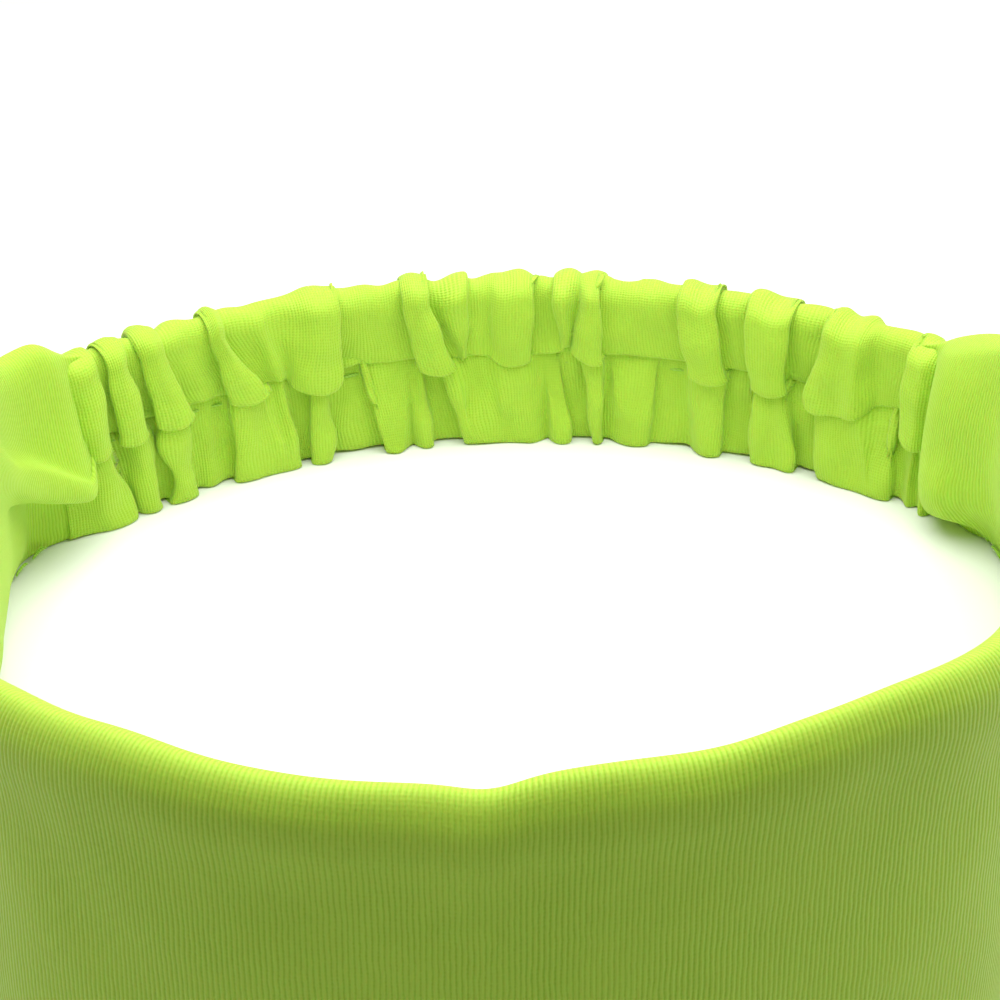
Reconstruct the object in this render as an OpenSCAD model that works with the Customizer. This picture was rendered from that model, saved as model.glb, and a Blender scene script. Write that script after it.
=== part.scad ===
// A sports headband that stands on its lower edge. The front band is a wide tube
// of fine-rib knit folded flat. The back is a gathered casing of the same knit,
// with a woven elastic inside that draws it in.
// +Y points to the back of the head and +Z up. The origin is the centre of the base.

/* [Head opening] */
// Clear length from the inside of the front band to the inside of the casing
head_length = 164.5; // [140:0.5:210]
// Inside radius of the casing, round the back of the head
back_radius = 92; // [84:1:112]
// Inside radius of the bend next to the casing
shoulder_radius = 25; // [12:1:34]
// Inside radius of the long sides
side_radius = 245; // [200:5:320]
// Inside radius of the bend between a side and the front
corner_radius = 30; // [12:1:40]
// Inside radius of the front
front_radius = 75; // [62:1:95]
// Length of the arc across the forehead, along its inside
forehead_length = 73.17; // [50:0.01:95]

/* [Front band] */
// Height of the front band at the forehead
front_height = 66.5; // [50:0.5:90]
// Height of the front band where it is sewn to the casing
join_height = 30.5; // [26:0.5:40]
// Thickness of the front band over both of its layers
front_thickness = 4.5; // [3:0.1:7]
// Thickness of one layer of knit
cloth_thickness = 0.8; // [0.5:0.05:1.2]

/* [Back casing] */
// Length of the gathered casing along its inside
casing_length = 134; // [100:1:170]
// Height of the casing
casing_height = 28.5; // [27:0.5:40]
// Thickness of a gathered wall between its pleats
gathered_wall = 1.5; // [1:0.1:2.5]
// How far the pleats stand out from a gathered wall
pleat_depth = 1.3; // [0.6:0.1:2]
// Number of pleats along the casing, an odd number
pleat_count = 25; // [15:2:31]
// Radius of a pleat above the seam
upper_pleat_radius = 2.3; // [1.4:0.1:2.4]
// Radius of a pleat below the seam
lower_pleat_radius = 1.9; // [1.4:0.1:2.4]
// How far the pleats end from the top and the bottom edge
pleat_end_gap = 0.5; // [0.3:0.1:2]
// Height of the lengthwise seam on the inside of the casing
seam_height = 13.5; // [9:0.5:18]
// Height of the smooth strip along that seam
seam_strip = 2; // [1.2:0.1:4]

/* [Elastic] */
// Width of the elastic
elastic_width = 25; // [15:1:25]
// Thickness of the elastic
elastic_thickness = 1.6; // [1:0.1:2.5]
// Space between the elastic and the casing round it
elastic_clearance = 0.3; // [0.2:0.05:0.6]

/* [Stitching] */
// Thickness of the sewing thread
thread_diameter = 0.6; // [0.3:0.05:0.8]
// Space round a stitch where it passes through cloth
thread_clearance = 0.05; // [0.03:0.01:0.1]
// Length of a stitch along the casing's seam
seam_stitch_length = 3; // [2:0.1:5]
// Gap between two stitches along the casing's seam
seam_stitch_gap = 1.2; // [0.6:0.1:3]
// Length of a stitch across a join
join_stitch_length = 5; // [3.5:0.1:7]
// Number of stitches across each join
join_stitch_count = 9; // [5:1:12]
// Number of stitches up each column of a tack
tack_rows = 6; // [4:1:8]
// Distance between the two columns of a tack
tack_pitch = 2.2; // [1.6:0.1:3]

/* [Hidden] */
$fn = 96;

cloth_colour = "#A6D43A";
thread_colour = "#9CCB30";
elastic_colour = "#EFEFEA";

// Straight steps in each arc of the front band's outline
arc_steps = 12;
// How far a cutting tool runs past a face
over = 1;

// The layers of the casing, each as a radius from its centre, from the inside out
inner_face = back_radius + pleat_depth;
cavity_inner = inner_face + gathered_wall;
elastic_inner = cavity_inner + elastic_clearance;
elastic_outer = elastic_inner + elastic_thickness;
cavity_outer = elastic_outer + elastic_clearance;
outer_face = cavity_outer + gathered_wall;
outer_crest = outer_face + pleat_depth;
inner_middle = inner_face + gathered_wall / 2;
outer_middle = outer_face - gathered_wall / 2;

// Heights in the casing
elastic_bottom = (casing_height - elastic_width) / 2;
cavity_bottom = elastic_bottom - elastic_clearance;
cavity_height = elastic_width + 2 * elastic_clearance;
upper_pleat_bottom = seam_height + seam_strip / 2;
lower_pleat_top = seam_height - seam_strip / 2;

// Angle along the casing from its middle to each of its ends
casing_half_angle = arc_angle(casing_length / 2, back_radius);
cavity_half_angle = casing_half_angle - arc_angle(gathered_wall, back_radius);
elastic_half_angle = cavity_half_angle - arc_angle(elastic_clearance, back_radius);
pleat_pitch = 2 * casing_half_angle / pleat_count;

// Outline of the opening as arcs that run smoothly into each other. Centres are
// measured from the casing's centre, and angles from +X. The side is the arc that
// touches the shoulder's circle and the corner's, wherever the head's length puts them.
shoulder_end = 90 - casing_half_angle;
shoulder_centre = polar(back_radius - shoulder_radius, shoulder_end);
front_centre = [0, back_radius - head_length + front_radius];
front_half_angle = arc_angle(forehead_length / 2, front_radius);
corner_centre = front_centre + polar(front_radius - corner_radius, front_half_angle - 90);
shoulder_reach = side_radius - shoulder_radius;
corner_reach = side_radius - corner_radius;
bend_line = corner_centre - shoulder_centre;
bend_gap = norm(bend_line);
side_start = atan2(bend_line[1], bend_line[0]) + 180
    - acos((bend_gap ^ 2 + shoulder_reach ^ 2 - corner_reach ^ 2) / (2 * bend_gap * shoulder_reach));
side_centre = shoulder_centre - polar(shoulder_reach, side_start);
side_end = atan2(corner_centre[1] - side_centre[1], corner_centre[0] - side_centre[0]);

// Each arc of the front band's right half is [centre, inside radius, first angle, last angle]
side_arc = [side_centre, side_radius, side_end, side_start];
corner_arc = [corner_centre, corner_radius, front_half_angle - 90, side_end];
front_arc = [front_centre, front_radius, -90, front_half_angle - 90];

// Places along Y from the casing's centre, and the shift that centres the base
front_outside = back_radius - head_length - front_thickness;
join_y = back_radius * cos(casing_half_angle);
base_shift = -(outer_crest + front_outside) / 2;

// The top edge of the front band is one long arc, seen from the side
top_drop = front_height - join_height;
top_run = join_y - front_outside;
top_radius = (top_run ^ 2 + top_drop ^ 2) / (2 * top_drop);

thread_radius = thread_diameter / 2;
join_inset = casing_height / (2 * join_stitch_count);
tack_angle = elastic_half_angle - arc_angle(join_stitch_length, back_radius);

function arc_angle(length, radius) = length / radius * 180 / PI;
function polar(radius, angle) = radius * [cos(angle), sin(angle)];

// The front band's arcs in order from its middle, ending end_gap short of the join
function half_arcs(end_gap = 0) = [front_arc, corner_arc, side_arc,
    [shoulder_centre, shoulder_radius, side_start,
        shoulder_end - arc_angle(end_gap, shoulder_radius)]];

// Points along an arc after its first one, moved out by offset
function arc_points(arc, offset) = [
    for (i = [1 : arc_steps])
        arc[0] + polar(arc[1] + offset, arc[2] + (arc[3] - arc[2]) * i / arc_steps)
];

// The right half of the front band's outline after its middle point, moved out by offset
function half_outline(offset, end_gap) = [
    for (arc = half_arcs(end_gap))
        each arc_points(arc, offset)
];

// The whole outline from the left join round the front to the right join
function outline(offset, end_gap) = let (half = half_outline(offset, end_gap)) [
    for (i = [len(half) - 1 : -1 : 0]) [-half[i][0], half[i][1]],
    front_centre - [0, front_radius + offset],
    each half
];

function reversed(points) = [for (i = [len(points) - 1 : -1 : 0]) points[i]];

// A wall that follows the front band from offset inside to offset outside
module front_wall(inside, outside, bottom, end_gap = 0) {
    translate([0, 0, bottom])
        linear_extrude(front_height)
            polygon(concat(outline(inside, end_gap), reversed(outline(outside, end_gap))));
}

// Stitches along one arc, evenly spaced, with their middle moved out by offset
module stitches_along(arc, offset, height, stitch, gap) {
    radius = arc[1] + offset;
    span = arc_angle(stitch, radius);
    count = floor((arc[3] - arc[2]) / arc_angle(stitch + gap, radius));
    step = (arc[3] - arc[2]) / count;
    translate([arc[0][0], arc[0][1], height])
        for (i = [0 : count - 1])
            rotate([0, 0, arc[2] + (i + 0.5) * step - span / 2])
                rotate_extrude(angle = span)
                    translate([radius, 0])
                        circle(r = thread_radius, $fn = 24);
}

// Sweeps a 2D profile round the casing's centre, over the given half angle
module casing_sweep(half_angle) {
    rotate([0, 0, 90 - half_angle])
        rotate_extrude(angle = 2 * half_angle)
            children();
}

// Everything that lies under the sloping top edge, moved down by drop
module under_top_edge(drop = 0) {
    translate([0, front_outside, front_height - top_radius])
        rotate([0, 90, 0])
            cylinder(r = top_radius - drop, h = 4 * back_radius, center = true, $fn = 360);
}

// Moves a child out to the casing at an angle from its middle, with +X pointing outwards
module at_casing(angle) {
    rotate([0, 0, 90 - angle])
        children();
}

// Sets the casing's centre so that the base is centred on the origin
module centred() {
    translate([0, base_shift, 0])
        children();
}

// Stitches that cross one join, thicker by grow all round
module join_stitches(side, grow = 0) {
    for (row = [0 : join_stitch_count - 1])
        at_casing(side * casing_half_angle)
            translate([inner_middle, 0, join_inset * (2 * row + 1)])
                rotate([90, 0, 0])
                    cylinder(r = thread_radius + grow, h = join_stitch_length + 2 * grow,
                        center = true, $fn = 24);
}

// Stitches that tack one end of the elastic through both walls of the casing
module tack_stitches(side, grow = 0) {
    for (row = [0 : tack_rows - 1], column = [0, 1])
        at_casing(side * (tack_angle - column * arc_angle(tack_pitch, back_radius)))
            translate([inner_face - grow, 0, tack_height(row)])
                rotate([0, 90, 0])
                    cylinder(r = thread_radius + grow, h = outer_face - inner_face + 2 * grow,
                        $fn = 24);
}

// A row of a tack is spread evenly over the elastic's width
function tack_height(row) = elastic_bottom + elastic_width * (row + 0.5) / tack_rows;

// Upright round pleats in a row, from the middle of a wall out to crest
module pleats(crest, wall_middle, radius, bottom, top) {
    inward = crest < wall_middle;
    intersection() {
        for (i = [0 : pleat_count - 1])
            at_casing((i - (pleat_count - 1) / 2) * pleat_pitch)
                translate([crest + (inward ? radius : -radius), 0, bottom])
                    cylinder(r = radius, h = top - bottom, $fn = 32);
        casing_sweep(casing_half_angle)
            translate([min(crest, wall_middle) - (inward ? over : 0), 0])
                square([abs(crest - wall_middle) + over, casing_height]);
    }
}

// The folded tube of knit round the forehead and the sides
module front_band() {
    color(cloth_colour)
        centred()
            difference() {
                intersection() {
                    front_wall(0, front_thickness, 0);
                    under_top_edge();
                }
                intersection() {
                    front_wall(cloth_thickness, front_thickness - cloth_thickness,
                        cloth_thickness, 2 * cloth_thickness);
                    under_top_edge(cloth_thickness);
                }
                for (side = [-1, 1])
                    join_stitches(side, thread_clearance);
            }
}

// The thread of the tube's own seam, inside its lower fold
module front_band_seam_thread() {
    color(thread_colour)
        centred()
            for (side = [0, 1], arc = half_arcs(3 * cloth_thickness))
                mirror([side, 0, 0])
                    stitches_along(arc, front_thickness / 2, cloth_thickness + thread_radius,
                        seam_stitch_length, seam_stitch_gap);
}

// The gathered tube of knit round the elastic
module back_casing() {
    color(cloth_colour)
        centred()
            difference() {
                union() {
                    casing_sweep(casing_half_angle)
                        translate([inner_face, 0])
                            square([outer_face - inner_face, casing_height]);
                    pleats(back_radius, inner_middle, upper_pleat_radius,
                        upper_pleat_bottom, casing_height - pleat_end_gap);
                    pleats(back_radius, inner_middle, lower_pleat_radius,
                        pleat_end_gap, lower_pleat_top);
                    pleats(outer_crest, outer_middle, upper_pleat_radius,
                        pleat_end_gap, casing_height - pleat_end_gap);
                }
                casing_sweep(cavity_half_angle)
                    translate([cavity_inner, cavity_bottom])
                        square([cavity_outer - cavity_inner, cavity_height]);
                casing_sweep(casing_half_angle + over)
                    translate([inner_face, seam_height])
                        circle(r = thread_radius + thread_clearance, $fn = 24);
                for (side = [-1, 1]) {
                    join_stitches(side, thread_clearance);
                    tack_stitches(side, thread_clearance);
                }
            }
}

// The row of stitches along the seam on the inside of the casing
module casing_seam_thread() {
    casing_arc = [[0, 0], inner_face, shoulder_end, 180 - shoulder_end];
    color(thread_colour)
        centred()
            stitches_along(casing_arc, 0, seam_height, seam_stitch_length, seam_stitch_gap);
}

// The woven elastic inside the casing
module elastic() {
    color(elastic_colour)
        centred()
            difference() {
                casing_sweep(elastic_half_angle)
                    translate([elastic_inner, elastic_bottom])
                        square([elastic_thickness, elastic_width]);
                for (side = [-1, 1])
                    tack_stitches(side, thread_clearance);
            }
}

// The stitches that hold the left end of the elastic
module elastic_tack_left() {
    color(thread_colour) centred() tack_stitches(-1);
}

// The stitches that hold the right end of the elastic
module elastic_tack_right() {
    color(thread_colour) centred() tack_stitches(1);
}

// The stitches that join the front band to the casing on the left
module join_thread_left() {
    color(thread_colour) centred() join_stitches(-1);
}

// The stitches that join the front band to the casing on the right
module join_thread_right() {
    color(thread_colour) centred() join_stitches(1);
}

front_band();
front_band_seam_thread();
back_casing();
casing_seam_thread();
elastic();
elastic_tack_left();
elastic_tack_right();
join_thread_left();
join_thread_right();
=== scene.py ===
"""A sports headband of fine-rib knit: a wide folded front band, and a gathered casing with a
woven elastic inside."""
import math

import bpy
import numpy as np
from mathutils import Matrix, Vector


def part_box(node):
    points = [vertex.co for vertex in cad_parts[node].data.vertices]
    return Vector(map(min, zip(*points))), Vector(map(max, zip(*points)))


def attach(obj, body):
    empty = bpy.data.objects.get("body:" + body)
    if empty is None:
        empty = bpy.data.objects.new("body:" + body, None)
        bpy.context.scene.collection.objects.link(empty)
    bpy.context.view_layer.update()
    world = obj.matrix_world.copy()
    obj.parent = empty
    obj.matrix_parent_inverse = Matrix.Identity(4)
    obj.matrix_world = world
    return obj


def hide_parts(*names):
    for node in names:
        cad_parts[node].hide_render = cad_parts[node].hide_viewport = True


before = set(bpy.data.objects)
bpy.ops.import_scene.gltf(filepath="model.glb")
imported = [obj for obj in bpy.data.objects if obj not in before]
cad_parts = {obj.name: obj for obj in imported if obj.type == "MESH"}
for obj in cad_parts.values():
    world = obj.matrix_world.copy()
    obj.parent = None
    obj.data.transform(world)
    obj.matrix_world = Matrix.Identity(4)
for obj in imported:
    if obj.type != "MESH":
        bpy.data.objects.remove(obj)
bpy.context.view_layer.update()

bl_info = {
    "name": "Sports headband",
    "version": (1, 0, 0),
    "blender": (4, 5, 0),
    "location": "View3D > Sidebar > Headband",
    "description": "Builds a knitted sports headband round its packed frame",
    "category": "Mesh",
}

MM = 0.001

# The frame's own places, in millimetres
CASING_HIGH = np.array(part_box("back_casing")[1]) / MM
BAND_LOW, BAND_HIGH = (np.array(corner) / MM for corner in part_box("front_band"))
ELASTIC_LOW, ELASTIC_HIGH = (np.array(corner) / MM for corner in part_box("elastic"))
CASING_RADIUS = 92.0  # inside the gathers, round the back of the head
CASING_MIDDLE_Y = CASING_HIGH[1] - 99.8  # the outermost gathers are 99.8 from it
CASING_HALF = 67.0  # from the middle of the casing to a join, along its inside
INNER_WALL = 94.0  # radius of the inner cloth between two folds
OUTER_WALL = 97.7  # radius of the outer cloth between two gathers
CROWN_HEIGHT = 26.8  # of the casing's top, before its pleats raise it
LOWEST_CROWN = 27.0
CROWN_ROLL = 3.0  # height of the round top over the upright faces
SKEW = 0.06  # the soft ring sits a little askew: its left side is nearer the front
JOIN_SHIFT = 0.85  # and both joins lie this far to the right
JOIN_ACROSS = 61.0  # from the middle of the ring to a join, straight across
ELASTIC_RADIUS = 95.9  # to the middle of the elastic's thickness
ELASTIC_OUTER = 96.7

HEAD_LENGTH = 164.5  # inside, from the forehead to the back of the casing
# The inside of the band is four arcs on either side, from the forehead to the join
FOREHEAD_RADIUS = 75.0
FOREHEAD_LENGTH = 73.17  # along the arc across the forehead
CORNER_RADIUS = 30.0
SIDE_RADIUS = 245.0
SHOULDER_RADIUS = 25.0
BAND_SLOPE_RADIUS = 312.6  # the top edge of the band is one long arc, seen from the side
BAND_THICKNESS = 4.5
END_THICKNESS = 2.6  # the least thickness of the band where its ends are folded
BAND_HALF = 180.0  # from the middle of the band to a join, along its inside
ENDS_REACH = 52.0  # how far from a join the folds of the band's end can be seen
FLOOR_GAP = 0.02  # the least height of the cloth over the floor

# Pleats above the seam on the inside of the casing, from left to right, in millimetres
# rounded to halves: left and right side at the lower edge, the same at the top, how far the
# pleat stands out at its lower edge and at the top, how high its lower edge is at the left
# and the right, and whether each side is sharp (tucked under) or soft
UPPER_PLEATS = (
    ((-67.0, -62.0), (-68.0, -62.5), (3.5, 2.5), (12.5, 12.5), "soft", "sharp"),
    ((-61.0, -55.5), (-61.5, -57.5), (3.5, 2.5), (12.5, 12.5), "sharp", "sharp"),
    ((-54.5, -48.0), (-56.0, -52.0), (3.5, 2.5), (13.0, 13.0), "sharp", "sharp"),
    ((-42.5, -35.5), (-45.0, -42.0), (3.5, 2.5), (13.5, 13.0), "sharp", "sharp"),
    ((-34.5, -33.0), (-38.0, -35.0), (1.5, 1.5), (15.0, 15.0), "soft", "soft"),
    ((-32.0, -24.5), (-31.0, -24.0), (3.5, 2.5), (13.0, 12.0), "soft", "sharp"),
    ((-13.0, -6.5), (-15.0, -10.5), (3.5, 3.0), (13.0, 12.5), "sharp", "sharp"),
    ((-6.0, -5.0), (-9.0, -4.5), (1.0, 2.5), (14.0, 14.0), "soft", "sharp"),
    ((-1.0, 5.0), (-1.0, 5.5), (3.0, 2.5), (13.5, 13.5), "soft", "sharp"),
    ((9.5, 10.5), (7.5, 11.5), (1.5, 3.0), (16.5, 16.5), "sharp", "soft"),
    ((11.0, 16.0), (12.0, 15.5), (3.5, 3.0), (15.5, 13.5), "soft", "sharp"),
    ((29.0, 35.5), (26.5, 33.0), (3.5, 3.0), (13.0, 12.5), "sharp", "sharp"),
    ((38.5, 45.0), (37.0, 44.5), (3.5, 3.0), (12.5, 12.5), "sharp", "sharp"),
    ((47.5, 57.5), (49.0, 57.0), (3.5, 3.0), (11.0, 12.5), "sharp", "soft"),
    ((63.0, 69.0), (63.0, 69.0), (3.5, 3.0), (11.0, 10.5), "sharp", "soft"),
)
# Pleats below the seam, in the same way but from the floor up to the seam, with no edge
LOWER_PLEATS = (
    ((-66.0, -58.5), (-67.0, -61.5), (3.0, 2.5), None, "soft", "sharp"),
    ((-58.0, -54.0), (-59.5, -55.0), (3.0, 2.5), None, "soft", "sharp"),
    ((-53.5, -48.0), (-53.5, -49.0), (3.0, 2.5), None, "sharp", "sharp"),
    ((-47.0, -44.0), (-47.0, -44.0), (1.5, 0.5), None, "soft", "soft"),
    ((-42.5, -31.0), (-42.0, -33.0), (3.0, 2.5), None, "sharp", "sharp"),
    ((-30.0, -26.0), (-30.0, -25.5), (3.0, 2.5), None, "sharp", "sharp"),
    ((-18.5, -14.0), (-21.5, -14.5), (3.5, 2.5), None, "sharp", "soft"),
    ((-13.0, -10.0), (-13.5, -11.5), (3.0, 1.5), None, "soft", "sharp"),
    ((-6.0, 7.0), (-9.5, 6.0), (3.0, 2.5), None, "sharp", "soft"),
    ((8.0, 11.5), (7.0, 9.0), (3.0, 2.0), None, "soft", "sharp"),
    ((14.0, 16.5), (12.0, 16.0), (3.0, 2.0), None, "sharp", "sharp"),
    ((17.5, 23.5), (17.0, 24.5), (2.5, 1.5), None, "soft", "sharp"),
    ((30.0, 35.0), (29.0, 35.5), (3.0, 2.0), None, "soft", "sharp"),
    ((39.0, 47.0), (38.5, 45.0), (3.0, 2.5), None, "sharp", "sharp"),
    ((50.0, 63.0), (48.5, 62.0), (3.0, 2.5), None, "sharp", "sharp"),
    ((65.0, 66.5), (64.5, 65.5), (2.5, 1.0), None, "soft", "soft"),
    ((67.5, 69.5), (67.0, 69.0), (3.0, 2.0), None, "soft", "soft"),
)
CASING_END = 70.0  # how far the casing's cloth runs from its middle, past each join
FLAT_CLOTH = 0.5  # how far the cloth between two pleats stands out
FLAT_EDGE = 15.0  # height of the lower edge between two pleats
WIDE_PLEAT = 7.5  # a pleat wider than this has a dip in its face

# The inner face of the band at places along it, in millimetres. Each is the distance from
# the join, the height of the top fold, and points (out from the opening, up) from the
# lower fold to just under the top one.
LEFT_END = (
    (-2.5, 29.0, (
        (2.6, 1.5), (2.4, 5.0), (2.4, 9.0), (2.4, 12.0),
        (2.4, 15.0), (2.4, 18.0), (2.3, 22.0), (2.2, 26.4))),
    (-0.6, 29.8, (
        (2.0, 0.8), (1.8, 4.0), (2.1, 9.6), (-1.6, 8.8),
        (-2.9, 9.9), (-2.4, 11.0), (-0.6, 13.0), (1.4, 27.2))),
    (1.2, 31.0, (
        (1.8, 0.6), (1.6, 4.0), (1.8, 9.8), (-2.8, 8.6),
        (-4.7, 9.8), (-4.2, 11.4), (-2.6, 13.4), (0.5, 28.4))),
    (3.0, 33.2, (
        (2.2, 0.5), (2.0, 4.0), (1.9, 10.6), (-2.9, 9.2),
        (-5.0, 10.4), (-4.6, 12.8), (-2.5, 15.0), (-0.4, 29.8))),
    (5.0, 34.5, (
        (2.8, 0.5), (2.5, 4.0), (2.0, 11.4), (-2.8, 9.8),
        (-5.0, 11.0), (-4.7, 14.0), (-2.1, 16.4), (-0.3, 31.0))),
    (9.0, 35.0, (
        (3.8, 0.5), (3.4, 4.5), (2.4, 12.8), (-1.9, 11.4),
        (-4.4, 12.6), (-4.2, 16.8), (-1.3, 19.4), (-0.2, 31.6))),
    (11.5, 35.2, (
        (3.6, 0.5), (1.4, 5.0), (1.0, 14.2), (-1.4, 12.8),
        (-3.9, 14.0), (-3.7, 18.6), (-0.9, 21.4), (-0.1, 31.8))),
    (18.0, 38.4, (
        (2.0, 0.5), (0.2, 6.0), (-0.4, 17.4), (-1.2, 16.6),
        (-2.9, 18.2), (-2.7, 22.0), (-0.9, 25.4), (0.0, 34.6))),
    (27.0, 43.0, (
        (0.6, 0.5), (-0.8, 6.0), (-1.2, 14.0), (-1.2, 21.0),
        (-1.6, 26.0), (-1.4, 30.0), (-0.8, 34.5), (0.1, 40.6))),
    (38.0, 48.0, (
        (0.0, 0.5), (-1.8, 6.0), (-1.6, 15.0), (-1.2, 24.0),
        (-1.0, 33.0), (-0.8, 37.0), (-0.5, 41.0), (0.2, 46.0))),
)
RIGHT_END = (
    (-2.5, 26.6, (
        (2.6, 1.5), (2.4, 5.0), (2.4, 9.0), (2.2, 13.0),
        (2.2, 16.0), (2.2, 19.0), (2.2, 22.0), (2.4, 25.0))),
    (0.4, 28.0, (
        (1.9, 0.6), (1.6, 3.6), (1.4, 8.0), (1.4, 13.0),
        (1.4, 16.0), (1.4, 19.5), (1.5, 22.5), (1.8, 26.2))),
    (1.7, 29.6, (
        (1.0, 1.4), (-1.6, 3.4), (-3.0, 8.4), (-3.3, 14.0),
        (-3.1, 17.5), (-2.7, 21.0), (-1.8, 24.5), (-0.4, 28.0))),
    (5.5, 31.8, (
        (0.6, 2.2), (-3.4, 3.4), (-5.6, 8.0), (-5.0, 14.0),
        (-4.6, 18.0), (-4.0, 22.0), (-2.7, 27.0), (-1.0, 30.2))),
    (9.5, 33.8, (
        (0.8, 2.6), (-3.0, 4.2), (-5.4, 9.0), (-4.6, 15.0),
        (-4.1, 20.0), (-3.4, 24.0), (-2.2, 29.0), (-0.8, 32.2))),
    (13.0, 35.2, (
        (2.8, 0.8), (1.6, 3.8), (-2.6, 9.0), (-3.0, 15.5),
        (-2.9, 20.5), (-2.4, 25.0), (-1.7, 30.4), (-0.5, 33.8))),
    (18.0, 37.6, (
        (2.9, 0.6), (2.2, 3.8), (0.6, 9.4), (-0.7, 16.0),
        (-0.9, 22.0), (-0.8, 27.0), (-0.5, 33.0), (0.2, 36.4))),
    (30.0, 42.8, (
        (1.2, 0.5), (0.8, 5.0), (0.2, 12.0), (-0.3, 20.0),
        (-0.4, 26.0), (-0.4, 31.0), (-0.2, 37.5), (0.3, 41.6))),
)
# Swells of the band's top edge over its even slope, with a shallow crease in the middle:
# distance from the middle, half width and height, in millimetres
FRONT_SWELLS = ((-28.0, 25.0, 3.0), (-1.0, 3.0, -1.0), (9.0, 7.0, 1.0), (35.0, 22.0, 4.5))


def linear_colour(hex_colour):
    """Turns an sRGB hex colour into linear red, green and blue."""
    channels = [int(hex_colour[i : i + 2], 16) / 255 for i in (1, 3, 5)]
    return tuple(c / 12.92 if c <= 0.04045 else ((c + 0.055) / 1.055) ** 2.4 for c in channels)


# ---------------------------------------------------------------- settings


class HeadbandSizes(bpy.types.PropertyGroup):
    """Sizes of the cloth, its folds and the elastic."""

    cloth_thickness: bpy.props.FloatProperty(
        name="Cloth thickness", description="Thickness of one layer of knit",
        default=0.0006, min=0.0003, max=0.0012, unit="LENGTH", precision=5)
    rib_pitch: bpy.props.FloatProperty(
        name="Rib pitch", description="Distance from one rib of the knit to the next",
        default=0.00050, min=0.0003, max=0.002, unit="LENGTH", precision=5)
    casing_rib_pitch: bpy.props.FloatProperty(
        name="Casing rib pitch", description="Distance between ribs where the gathered knit is slack",
        default=0.00046, min=0.0003, max=0.002, unit="LENGTH", precision=5)
    course_pitch: bpy.props.FloatProperty(
        name="Course pitch", description="Height of one row of stitches of the knit",
        default=0.00042, min=0.0003, max=0.002, unit="LENGTH", precision=5)
    fold_rounding: bpy.props.FloatProperty(
        name="Fold rounding", description="How far the edge of a gather is rounded along the cloth",
        default=0.00055, min=0.0002, max=0.002, unit="LENGTH", precision=5)
    elastic_width: bpy.props.FloatProperty(
        name="Elastic width", description="Width of the woven elastic in the casing",
        default=float(ELASTIC_HIGH[2] - ELASTIC_LOW[2]) * MM, min=0.01, max=0.04, unit="LENGTH")
    thread_width: bpy.props.FloatProperty(
        name="Thread width", description="Thickness of the sewing thread",
        default=0.0005, min=0.0002, max=0.001, unit="LENGTH", precision=5)


class HeadbandColours(bpy.types.PropertyGroup):
    """Colours of the cloth, the thread, the elastic and the floor."""

    rib: bpy.props.FloatVectorProperty(
        name="Rib", description="Colour of the knit on top of its ribs",
        default=linear_colour("#AED240"), subtype="COLOR", min=0, max=1)
    # the groove colour is darker than the rib colour: painted shade between the ribs
    painted_groove_shade: bpy.props.FloatVectorProperty(
        name="Groove", description="Colour of the knit between its ribs",
        default=linear_colour("#8BB91E"), subtype="COLOR", min=0, max=1)
    thread: bpy.props.FloatVectorProperty(
        name="Thread", description="Colour of the sewing thread",
        default=linear_colour("#9CCB30"), subtype="COLOR", min=0, max=1)
    elastic: bpy.props.FloatVectorProperty(
        name="Elastic", description="Colour of the woven elastic",
        default=linear_colour("#EFEFEA"), subtype="COLOR", min=0, max=1)
    floor: bpy.props.FloatVectorProperty(
        name="Floor", description="Colour of the floor",
        default=linear_colour("#EEEEEB"), subtype="COLOR", min=0, max=1)


# ---------------------------------------------------------------- shapes in numbers


def smoothed(values, width, axis=0, wrap=False):
    """Values averaged along an axis with a bell curve of this width, in samples."""
    reach = max(1, int(math.ceil(3 * width)))
    bell = np.exp(-0.5 * (np.arange(-reach, reach + 1) / width) ** 2)
    bell /= bell.sum()
    moved = np.moveaxis(np.asarray(values, float), axis, 0)
    edge = "wrap" if wrap else "edge"
    padded = np.pad(moved, [(reach, reach)] + [(0, 0)] * (moved.ndim - 1), mode=edge)
    out = sum(weight * padded[i : i + len(moved)] for i, weight in enumerate(bell))
    return np.moveaxis(out, 0, axis)


def waves(along, seed, shortest, longest, count=9):
    """An uneven wave of about unit height, the same for the same seed."""
    draw = np.random.default_rng(seed)
    lengths = draw.uniform(shortest, longest, count)
    starts = draw.uniform(0, 2 * math.pi, count)
    total = sum(np.sin(2 * math.pi * along / wave + start) for wave, start in zip(lengths, starts))
    return total / math.sqrt(count / 2)


def ripples(points, seed, shortest, longest, count=14):
    """An uneven wave in space at each point, of about unit height."""
    draw = np.random.default_rng(seed)
    total = np.zeros(points.shape[:-1])
    for _ in range(count):
        direction = draw.normal(size=3)
        direction *= 2 * math.pi / (np.linalg.norm(direction) * draw.uniform(shortest, longest))
        total += np.sin(points @ direction + draw.uniform(0, 2 * math.pi))
    return total / math.sqrt(count / 2)


def settled(points):
    """Where a point in millimetres comes to rest on the soft ring, a little askew."""
    x, y, z = points[..., 0], points[..., 1], points[..., 2]
    near_back = np.clip((y + 30) / 80, 0, 1)
    return np.stack([x + JOIN_SHIFT * (x / JOIN_ACROSS) ** 2 * near_back, y + SKEW * x, z], axis=-1)


def on_casing(along, radius, height):
    """Points at a distance along the casing from its middle, at a radius and a height."""
    angle = along / CASING_RADIUS
    return np.stack(
        [radius * np.sin(angle), CASING_MIDDLE_Y + radius * np.cos(angle), height + 0 * angle], axis=-1)


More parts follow.
